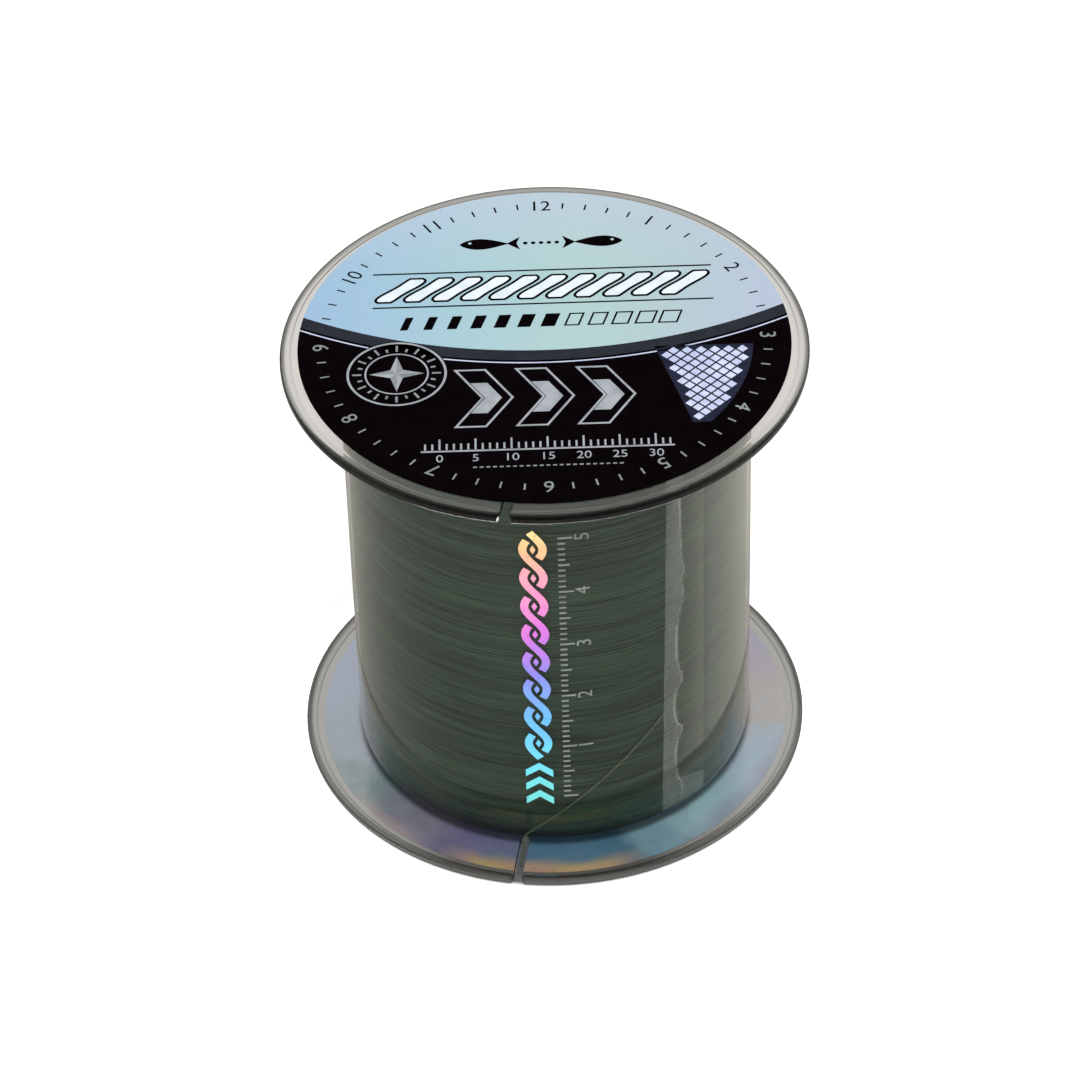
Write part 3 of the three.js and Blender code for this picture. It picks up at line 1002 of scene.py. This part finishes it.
def text_solid(text, size, z, thick, at=(0.0, 0.0), turn=0.0, stretch=1.0):
    cu = bpy.data.curves.new("figure", "FONT")
    cu.body = text
    cu.size = size
    cu.align_x, cu.align_y = "CENTER", "CENTER"
    cu.extrude = thick / 2
    cu.resolution_u = 4
    verts, faces = curve_solid(cu, z + thick / 2, (0.0, 0.0), 0.0)
    c, s = math.cos(rad(turn)), math.sin(rad(turn))
    verts = [(at[0] + x * stretch * c - y * s, at[1] + x * stretch * s + y * c, h) for x, y, h in verts]
    return verts, faces


def welded(verts, faces, limit=1e-4):
    """Merge the doubled edge vertices of filled curves, so each shape is one closed skin."""
    bm = bmesh.new()
    vs = [bm.verts.new(v) for v in verts]
    for f in faces:
        try:
            bm.faces.new([vs[i] for i in f])
        except ValueError:
            pass
    bmesh.ops.remove_doubles(bm, verts=bm.verts, dist=limit)
    bmesh.ops.recalc_face_normals(bm, faces=bm.faces)
    bm.verts.index_update()
    out = [tuple(v.co) for v in bm.verts], [tuple(v.index for v in f.verts) for f in bm.faces]
    bm.free()
    return out


def print_piece(name, parts, mat, body, bend=None):
    verts, faces = joined([welded(v, f) for v, f in parts])
    if bend:
        bm = bmesh.new()
        vs = [bm.verts.new(v) for v in verts]
        for f in faces:
            bm.faces.new([vs[i] for i in f])
        lo, hi = min(v[0] for v in verts), max(v[0] for v in verts)
        u = math.floor(lo) + 0.4
        while u < hi:
            geom = bm.verts[:] + bm.edges[:] + bm.faces[:]
            bmesh.ops.bisect_plane(bm, geom=geom, plane_co=(u, 0, 0), plane_no=(1, 0, 0), dist=1e-5)
            u += 0.4
        bm.verts.index_update()
        verts = [bend(*v.co) for v in bm.verts]
        faces = [tuple(v.index for v in f.verts) for f in bm.faces]
        bm.free()
    o = mesh_object(name, verts, faces, [mat], smooth=False)
    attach(o, body)
    return o


def arc(cx, cy, r, a0, a1, steps):
    return [(cx + r * math.cos(rad(a0 + (a1 - a0) * i / steps)), cy + r * math.sin(rad(a0 + (a1 - a0) * i / steps))) for i in range(steps + 1)]


def ring(cx, cy, outer, inner, steps=96):
    return [arc(cx, cy, outer, 0, 360, steps)[:-1], arc(cx, cy, inner, 360, 0, steps)[:-1]]


def inset(loop, d):
    """The loop moved inward by d (counter-clockwise loops)."""
    n = len(loop)
    area = sum(loop[i][0] * loop[(i + 1) % n][1] - loop[(i + 1) % n][0] * loop[i][1] for i in range(n))
    if area < 0:
        loop = loop[::-1]
    out = []
    for i in range(n):
        p, q, r = Vector(loop[i - 1]), Vector(loop[i]), Vector(loop[(i + 1) % n])
        e1, e2 = (q - p).normalized(), (r - q).normalized()
        n1, n2 = Vector((-e1.y, e1.x)), Vector((-e2.y, e2.x))
        m = n1 + n2
        k = d * 2 / max(0.35, m.length_squared)
        out.append((q.x + m.x * k, q.y + m.y * k))
    return out


def tick(cx, cy, r0, r1, azimuth, width):
    c, s = math.cos(rad(azimuth)), math.sin(rad(azimuth))
    w = width / 2
    return [(cx + r * c - q * s, cy + r * s + q * c) for r, q in ((r0, -w), (r1, -w), (r1, w), (r0, w))]


def label_print():
    """A generic dial face: rope band and gauge on a pale ground, arrows, a net and a compass rose on black."""
    cx, cy, radius = 0.0, LABEL_TOP_SHIFT, LABEL_TOP_R - 0.01
    first, second, third, thin = LABEL_FACE + 0.002, LABEL_FACE + 0.012, LABEL_FACE + 0.022, 0.008
    by, br = cy + 68.0, 70.0  # the big circle that bounds the pale ground

    def edge_point(r_big):
        # where the big circle meets the label's edge, as the angle seen from each centre
        d = by - cy
        y = (radius**2 - r_big**2 + d * d) / (2 * d)
        x = math.sqrt(radius**2 - y * y)
        return math.degrees(math.atan2(y, x)), math.degrees(math.atan2(y - d, x))

    def crescent(r_big):
        own, big = edge_point(r_big)
        lower = arc(cx, cy, radius, own, -180 - own, 140)
        upper = arc(cx, by, r_big, -180 - big, big, 90)
        return lower + upper[1:-1]

    def band(r_in, r_out):
        own1, big1 = edge_point(r_in)
        own2, big2 = edge_point(r_out)
        inner = arc(cx, by, r_in, -180 - big1, big1, 90)
        outer = arc(cx, by, r_out, big2, -180 - big2, 90)
        return inner + outer

    print_piece("label_dark_ground", [flat_shape([crescent(br)], first, thin)], BLACK, "spool")
    print_piece("label_slate_band", [flat_shape([band(br, br + 2.2)], second, thin)], SLATE, "spool")

    dark, grey, white, silver, lilac, navy = [], [], [], [], [], []
    lilac.append(flat_shape([band(br + 2.65, br + 2.9)], second, thin))

    # rope band: slanted strands, dark outline and white fill
    pitch, half_h, y0 = 4.1, 2.9, cy + 12.6

    def strand(i, grow):
        x0 = -20.5 + i * pitch
        left, right = [], []
        for k in range(17):
            v = -1 + 2 * k / 16
            lean = 2.35 * math.sin(v * math.pi / 2)
            swell = 0.5 * pitch * (0.90 - 0.42 * abs(v) ** 5)
            left.append((x0 + lean - swell, y0 + v * half_h))
            right.append((x0 + lean + swell, y0 + v * half_h))
        loop = right + left[::-1]
        return loop if not grow else inset(loop, grow)

    for i in range(11):
        dark.append(flat_shape([strand(i, 0.0)], first, thin))
        white.append(flat_shape([strand(i, 0.42)], second, thin))
    for y in (y0 + half_h + 1.0, y0 - half_h - 1.0):
        dark.append(flat_shape([[(-24.5, y - 0.16), (24.5, y - 0.16), (24.5, y + 0.16), (-24.5, y + 0.16)]], first, thin))

    # gauge of slanted blocks under it, solid at the left and open at the right
    y1, y2 = cy + 3.4, cy + 6.3
    for i in range(12):
        w = 1.1 + 0.16 * i
        x = -20.6 + 3.35 * i
        block = [(x, y1), (x + w, y1), (x + w + 0.9, y2), (x + 0.9, y2)]
        if i < 7:
            dark.append(flat_shape([block], first, thin))
        else:
            dark.append(flat_shape([block, inset(block, 0.28)[::-1]], first, thin))

    # two plain fish and a row of dots above it
    def fish(x, side):
        body = []
        for k in range(25):
            t = k / 24
            body.append((x + side * (3.6 - 7.2 * t), cy + 23.0 + 1.25 * math.sin(math.pi * t**0.75)))
        for k in range(1, 24):
            t = 1 - k / 24
            body.append((x + side * (3.6 - 7.2 * t), cy + 23.0 - 1.25 * math.sin(math.pi * t**0.75)))
        tail = [(x - side * 3.3, cy + 23.0), (x - side * 5.2, cy + 24.5), (x - side * 4.7, cy + 23.0), (x - side * 5.2, cy + 21.5)]
        eye = arc(x + side * 2.1, cy + 23.3, 0.26, 0, 360, 14)[:-1]
        return [flat_shape([body, eye], first, thin), flat_shape([tail], first + 0.009, thin)]

    dark += fish(-8.3, -1) + fish(8.3, 1)
    for k in range(-2, 3):
        dark.append(flat_shape([arc(1.15 * k, cy + 23.0, 0.34, 0, 360, 18)[:-1]], first, thin))

    # dial figures and ticks round the edge
    own, _ = edge_point(br)
    for k in range(60):
        a = 90 - 6 * k
        on_dark = (cx + 31.6 * math.cos(rad(a))) ** 2 + (cy + 31.6 * math.sin(rad(a)) - by) ** 2 > br**2
        near_band = on_dark and (cx + 31.6 * math.cos(rad(a))) ** 2 + (cy + 31.6 * math.sin(rad(a)) - by) ** 2 < (br + 3.4) ** 2
        where, z = (grey, second) if on_dark else (dark, first)
        if k % 5 == 0:
            where.append(
                text_solid(str(k // 5 or 12), 3.3, z, thin, (cx + 31.7 * math.cos(rad(a)), cy + 31.7 * math.sin(rad(a))), a - 90)
            )
        elif not near_band:
            where.append(flat_shape([tick(cx, cy, 31.2, 32.5, a, 0.26)], z, thin))

    # three open arrows on the black
    def arrow(x):
        y_mid, h, w, lean = cy - 12.3, 6.4, 4.6, 3.9
        return [(x, y_mid - h), (x + w, y_mid - h), (x + w + lean, y_mid), (x + w, y_mid + h), (x, y_mid + h), (x + lean, y_mid)]

    for i in range(3):
        loop = arrow(-13.0 + 8.6 * i)
        silver.append(flat_shape([loop, inset(loop, 0.34)[::-1]], second, thin))
    small = [(x * 0.52 - 1.4, (y - cy + 12.3) * 0.52 + cy - 12.3) for x, y in arrow(0.0)]
    for i in range(3):
        dx = -12.0 + 8.6 * i + 2.6
        silver.append(flat_shape([[(x + dx + 0.2, y) for x, y in small]], second, thin))

    # a net of small diamonds at the right, on a dark blue ground
    def slant(y):
        return 15.6 + (cy - 1.9 - y) * 0.28

    net = []
    for row in range(16):
        y = cy - 3.0 - 0.98 * row
        for col in range(9):
            x = 16.3 + 1.96 * col + (0.98 if row % 2 else 0.0)
            if x - 0.9 > slant(y) and math.hypot(x + 0.9, y - cy) < 29.5:
                net.append([(x - 0.78, y), (x, y - 0.78), (x + 0.78, y), (x, y + 0.78)])
    lilac.append(flat_shape(net, third, thin))
    top_y, low_y = cy - 1.9, cy - 18.9
    side = arc(cx, cy, 29.7, math.degrees(math.asin(-18.9 / 29.7)), math.degrees(math.asin(-1.9 / 29.7)), 24)
    navy.append(flat_shape([[(slant(top_y), top_y), (slant(low_y), low_y)] + side], second, thin))

    # compass rose in a ring at the left
    ex, ey = -21.0, cy - 6.4
    silver.append(flat_shape(ring(ex, ey, 7.1, 6.75), third, thin))
    silver.append(flat_shape(ring(ex, ey, 4.55, 4.3), third, thin))
    for k in range(24):
        grey.append(flat_shape([tick(ex, ey, 5.0, 6.3 if k % 2 == 0 else 5.7, 15 * k, 0.34)], third, thin))
    print_piece("label_rose_ground", [flat_shape([arc(ex, ey, 7.3, 0, 360, 96)[:-1]], second, thin)], BLACK, "spool")
    for k in range(4):
        for flip, target in ((1, silver), (-1, grey)):
            a, b = rad(90 * k), rad(90 * k + 45 * flip)
            tri = [(ex, ey), (ex + 3.9 * math.cos(a), ey + 3.9 * math.sin(a)), (ex + 1.25 * math.cos(b), ey + 1.25 * math.sin(b))]
            target.append(flat_shape([tri], third, thin))

    # straight scale in millimetres at the bottom
    y0 = cy - 23.4
    for k in range(-17, 18):
        length = 2.3 if k % 5 == 0 else 1.3
        silver.append(flat_shape([[(k - 0.14, y0), (k + 0.14, y0), (k + 0.14, y0 + length), (k - 0.14, y0 + length)]], second, thin))
    silver.append(flat_shape([[(-17.6, y0 - 0.45), (17.6, y0 - 0.45), (17.6, y0 - 0.12), (-17.6, y0 - 0.12)]], second, thin))
    for k, x in enumerate(range(-15, 16, 5)):
        silver.append(text_solid(str(k * 5), 2.2, second, thin, (float(x), y0 - 1.9)))
    for k in range(-11, 12):
        grey.append(flat_shape([[(k * 0.92 - 0.27, y0 - 4.0), (k * 0.92 + 0.27, y0 - 4.0), (k * 0.92 + 0.27, y0 - 3.72), (k * 0.92 - 0.27, y0 - 3.72)]], second, thin))

    print_piece("label_dark_print", dark, BLACK, "spool")
    print_piece("label_white_print", white, WHITE, "spool")
    print_piece("label_silver_print", silver, SILVER, "spool")
    print_piece("label_grey_print", grey, GREY, "spool")
    print_piece("label_navy_panel", navy, NAVY, "spool")
    print_piece("label_lilac_print", lilac, LILAC, "spool")


def sleeve_print():
    """Foil plait and grey rule on the film: drawn flat as (arc length, height), then bent onto the film."""
    grow = 0.006

    def bend(u, v, w):
        azimuth = math.degrees(u / 29.5) - 90.0
        turned = FILM_START_AZ - azimuth
        r = film_radius(turned, azimuth, v) + FILM_T + 0.008 + w
        a = rad(azimuth)
        return r * math.cos(a), r * math.sin(a), v

    mid = -2.57  # arc length of the foil column's middle line
    foil = []
    wave, amp, width, low, high = 10.65, 1.42, 1.16, 18.6, 61.2

    def sine(phase, v0, v1, w):
        left, right = [], []
        steps = max(4, int((v1 - v0) / 0.3))
        for k in range(steps + 1):
            v = v0 + (v1 - v0) * k / steps
            t = 2 * math.pi * (v - low) / wave + phase
            u, du = amp * math.sin(t), amp * 2 * math.pi / wave * math.cos(t)
            n = math.hypot(1.0, du)
            left.append((mid + u - w / 2 / n, v + w / 2 * du / n))
            right.append((mid + u + w / 2 / n, v - w / 2 * du / n))
        return right + left[::-1]

    # two plaited strands: at each crossing one of them is broken to pass under the other
    crossings = [low + wave / 2 * k for k in range(0, 20) if low + wave / 2 * k <= high + 0.1]
    gap = 1.05
    for phase, parity in ((0.0, 0), (math.pi, 1)):
        start = low - 0.3
        for k, c in enumerate(crossings):
            if k % 2 == parity:
                if c - gap > start + 0.3:
                    foil.append(flat_shape([sine(phase, start, c - gap, width)], 0.0, grow))
                start = c + gap
        if high + 0.5 > start + 0.3:
            foil.append(flat_shape([sine(phase, start, high + 0.5, width)], 0.0, grow))
    for c0, c1 in zip(crossings, crossings[1:]):
        y = (c0 + c1) / 2
        foil.append(flat_shape([[(mid - 0.42, y), (mid, y - 0.8), (mid + 0.42, y), (mid, y + 0.8)]], 0.0, grow))
    for k in range(3):
        y = 9.0 + 2.75 * k
        loop = [(mid - 2.0, y), (mid, y + 1.5), (mid + 2.0, y), (mid + 2.0, y + 1.35), (mid, y + 2.85), (mid - 2.0, y + 1.35)]
        foil.append(flat_shape([loop], 0.0, grow))
    print_piece("sleeve_foil_print", foil, RAINBOW, "sleeve", bend)

    rule = []
    left = 0.95
    for k in range(51):
        v = 10.6 + k
        length = 2.1 if k % 10 == 0 else 1.6 if k % 5 == 0 else 1.0
        rule.append(flat_shape([[(left, v - 0.17), (left + length, v - 0.17), (left + length, v + 0.17), (left, v + 0.17)]], 0.0, grow))
    for k in range(1, 6):
        rule.append(text_solid(str(k), 3.0, 0.0, grow, (left + 3.5, 10.6 + 10 * k), 90))
    print_piece("sleeve_grey_print", rule, FILM_GREY, "sleeve", bend)


# ------------------------------------------------------------------- labels
def disc_mesh(radius, low, high, cy, columns=256, split=None):
    """A die-cut disc with a slightly rounded upper edge."""
    rings = [(0.0, low), (radius * 0.5, low), (radius, low), (radius, high - 0.03), (radius - 0.03, high), (radius * 0.66, high), (radius * 0.33, high), (0.0, high)]
    verts, faces, index = [], [], []
    for r, z in rings:
        if r == 0.0:
            index.append([len(verts)] * columns)
            verts.append((0, cy, z))
        else:
            index.append(list(range(len(verts), len(verts) + columns)))
            for j in range(columns):
                a = 2 * math.pi * j / columns
                verts.append((r * math.cos(a), cy + r * math.sin(a), z))
    for p, q in zip(index, index[1:]):
        for j in range(columns):
            j2 = (j + 1) % columns
            f = [p[j], p[j2], q[j2], q[j]]
            f = [x for n, x in enumerate(f) if x != f[n - 1]]
            if len(f) > 2:
                faces.append(tuple(f))
    faces = outward(verts, faces)
    if split is None:
        return verts, faces
    rim = {i for row in index[2:5] for i in row}
    dark = [int(all(i in rim for i in f) and sum(verts[i][1] for i in f) / len(f) < split) for f in faces]
    return verts, faces, dark


LABEL_FACE = HEIGHT - RECESS_D + 0.02 + LABEL_T
v, f, m = disc_mesh(LABEL_TOP_R, LABEL_FACE - LABEL_T, LABEL_FACE, LABEL_TOP_SHIFT, split=LABEL_TOP_SHIFT + 4.0)
top = mesh_object("top_label_foil", v, f, [PALE, BLACK], m, sharp=30)
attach(top, "spool")
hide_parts("top_label")
v, f = disc_mesh(LABEL_BOTTOM_R + 0.15, RECESS_D - 0.05 - LABEL_T, RECESS_D - 0.05, -0.3)
m = [int(max(v[i][2] for i in face) < RECESS_D - 0.05 - LABEL_T / 2) for face in f]
bottom = mesh_object("bottom_label_foil", v, f, [FOIL, FOIL_BACK], m, sharp=30)
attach(bottom, "spool")
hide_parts("bottom_label")


label_print()
sleeve_print()


# -------------------------------------------------------------------- stage
def stage():
    n = material("floor_paper")
    p = n.place()
    x, y, z = n.split(p)
    under = n.math("SQRT", n.math("ADD", n.math("MULTIPLY", x, x), n.math("MULTIPLY", y, y)))
    # painted shadow: the floor is dark grey under the spool's footprint
    shader = n.add(
        "ShaderNodeBsdfDiffuse",
        {"Color": n.mix(n.range(under, 36.8, 37.3, smooth=True), (0.20, 0.20, 0.20), n.mix(n.noise(p, 0.02, 3.0), (0.90, 0.90, 0.90), (0.93, 0.93, 0.925)))},
    )
    # painted light: the floor glows around the base, most just outside the rim and fading farther out, lifting the
    # shadow there
    painted_glow = n.add("ShaderNodeEmission", {"Color": (1.0, 1.0, 1.0), "Strength": n.math("MULTIPLY", n.range(under, 37.35, 37.75, 0.0, 1.0), n.range(under, 38.5, 42.0, 0.75, 0.12))})
    below = n.add("ShaderNodeNewGeometry").outputs["Backfacing"]
    paper = n.add("ShaderNodeAddShader", {0: shader, 1: painted_glow})
    n.put(n.out.inputs[0], n.add("ShaderNodeMixShader", {0: below, 1: paper, 2: n.add("ShaderNodeBsdfTransparent", {"Color": (1, 1, 1)})}))
    me = bpy.data.meshes.new("floor")
    s = 6.0
    me.from_pydata([(-s, -s, 0), (s, -s, 0), (s, s, 0), (-s, s, 0)], [], [(0, 1, 2, 3)])
    me.materials.append(n.m)
    floor = bpy.data.objects.new("floor", me)
    floor.location.z = -0.00002
    floor.visible_glossy = False
    floor.visible_transmission = False
    bpy.context.scene.collection.objects.link(floor)

    # what shows through the clear plastic: a glowing card with painted shade, dark in front and under the front of the
    # rim, and painted light farther out
    c = material("card_under")
    x, y, z = c.split(c.place())
    heading = c.math("MULTIPLY_ADD", c.math("ARCTAN2", x, c.math("MULTIPLY", y, -1.0)), 0.5 / math.pi, 0.5)
    reach = c.math("SQRT", c.math("ADD", c.math("MULTIPLY", x, x), c.math("MULTIPLY", y, y)))

    def round_card(stops):
        return c.ramp(heading, [((h + 180.0) / 360.0, (g, g, g)) for h, g in stops])

    near = round_card(
        [(-180, 0.50), (-58, 0.50), (-40, 0.44), (-25, 0.17), (0, 0.12), (20, 0.12), (38, 0.38), (55, 0.50), (180, 0.50)]
    )
    far = round_card([(-180, 0.80), (-130, 0.85), (-90, 0.60), (-50, 0.22), (0, 0.10), (50, 0.22), (90, 0.60), (130, 0.85), (180, 0.80)])
    painted_glow = c.mix(c.range(reach, 37.5, 41.0, smooth=True), near, far)
    painted_glow = c.mix(c.math("MULTIPLY", c.range(reach, 60.0, 85.0, smooth=True), 0.85), painted_glow, (1.0, 1.0, 1.0))
    c.put(c.out.inputs[0], c.add("ShaderNodeEmission", {"Color": c.mix(1.0, painted_glow, (1.0, 0.975, 0.94), "MULTIPLY"), "Strength": 1.0}))
    me = bpy.data.meshes.new("card")
    me.from_pydata([(-s, -s, 0), (s, -s, 0), (s, s, 0), (-s, s, 0)], [], [(0, 1, 2, 3)])
    me.materials.append(c.m)
    card = bpy.data.objects.new("card", me)
    card.location.z = -0.00004
    card.visible_camera = card.visible_diffuse = card.visible_glossy = card.visible_shadow = False
    card.visible_volume_scatter = False
    bpy.context.scene.collection.objects.link(card)

    u = material("shade_under")
    u.put(u.out.inputs[0], u.add("ShaderNodeEmission", {"Color": (0.05, 0.05, 0.05), "Strength": 1.0}))
    me = bpy.data.meshes.new("shade_disc")
    ring_of = [(0.0379 * math.cos(2 * math.pi * k / 128), 0.0379 * math.sin(2 * math.pi * k / 128), 0.0) for k in range(128)]
    me.from_pydata(ring_of, [], [tuple(range(128))])
    me.materials.append(u.m)
    disc = bpy.data.objects.new("shade_disc", me)
    disc.location.z = -0.00001
    disc.visible_camera = disc.visible_diffuse = disc.visible_transmission = disc.visible_shadow = False
    bpy.context.scene.collection.objects.link(disc)

    world = bpy.data.worlds.new("studio")
    world.use_nodes = True
    world.node_tree.nodes.clear()
    w = Nodes(world.node_tree)
    out = w.add("ShaderNodeOutputWorld")
    d = w.add("ShaderNodeTexCoord").outputs["Generated"]
    x, y, z = w.split(d)
    # what gloss and clear plastic see: dim in front, pale at the right and behind, by the heading of the ray
    heading = w.math("MULTIPLY_ADD", w.math("ARCTAN2", x, w.math("MULTIPLY", y, -1.0)), 0.5 / math.pi, 0.5)

    def round_about(stops):
        return w.ramp(heading, [((h + 180.0) / 360.0, (g, g, g)) for h, g in stops])

    # one broad bright panel at the right, and an even dimmer surround
    low = round_about([(-180, 0.42), (-90, 0.46), (0, 0.42), (70, 0.46), (105, 0.85), (150, 0.60), (180, 0.42)])
    side = w.math("ABSOLUTE", w.math("MULTIPLY_ADD", heading, 2.0, -1.0))
    level = w.math("MULTIPLY_ADD", side, -0.022, z)
    low = w.math("MULTIPLY", low, w.range(level, -0.670, -0.690, 1.0, 0.80, smooth=True))
    high = round_about(
        [(-180, 0.18), (-130, 0.22), (-90, 0.40), (-50, 0.16), (0, 0.08), (50, 0.16), (90, 0.40), (130, 0.22), (180, 0.18)]
    )
    behind = w.math("MULTIPLY", w.range(side, 0.60, 0.80, smooth=True), w.math("MULTIPLY", w.range(z, 0.50, 0.60), w.range(z, 0.72, 0.82, 1.0, 0.0)))
    high = w.math("MULTIPLY_ADD", behind, 0.75, high)
    top = w.range(z, 0.74, 0.90, 0.0, 1.0, smooth=True)
    high = w.math("MULTIPLY_ADD", w.math("SUBTRACT", 0.16, high), top, high)
    up = w.range(z, 0.10, 0.32, 0.0, 1.0, smooth=True)
    gloss = w.math("ADD", w.math("MULTIPLY", low, w.math("SUBTRACT", 1.0, up)), w.math("MULTIPLY", high, up))
    # the bright floor right below, which draws a thin line along the lower edge of the upper rim
    below = w.math("MULTIPLY", w.range(z, -0.90, -0.95), w.range(x, -0.06, 0.06, 7.0, 3.5))
    gloss = w.math("ADD", gloss, below)
    path = w.add("ShaderNodeLightPath")
    strength = w.math("MULTIPLY_ADD", w.math("SUBTRACT", gloss, 1.0), path.outputs["Is Glossy Ray"], 1.0)
    warm = w.mix(path.outputs["Is Glossy Ray"], (1.0, 0.995, 0.99), (1.0, 0.98, 0.925))
    bg = w.add("ShaderNodeBackground", {"Color": warm, "Strength": strength})
    w.put(out.inputs[0], bg)
    bpy.context.scene.world = world

    def area(name, size, energy, at, target, shape="SQUARE", size_y=None):
        data = bpy.data.lights.new(name, "AREA")
        data.shape = shape
        data.size = size
        if size_y:
            data.size_y = size_y
        data.energy = energy
        o = bpy.data.objects.new(name, data)
        o.location = at
        o.rotation_euler = (Vector(target) - Vector(at)).to_track_quat("-Z", "Y").to_euler()
        bpy.context.scene.collection.objects.link(o)
        return o

    lamp = area("overhead", 0.9, 6.0, (0.1, -0.1, 1.1), (0, 0, 0.03))
    lamp.visible_glossy = lamp.visible_transmission = False
    bpy.context.scene.view_settings.view_transform = "Standard"
    bpy.context.scene.view_settings.look = "None"
    bpy.context.scene.cycles.transparent_max_bounces = 32


stage()
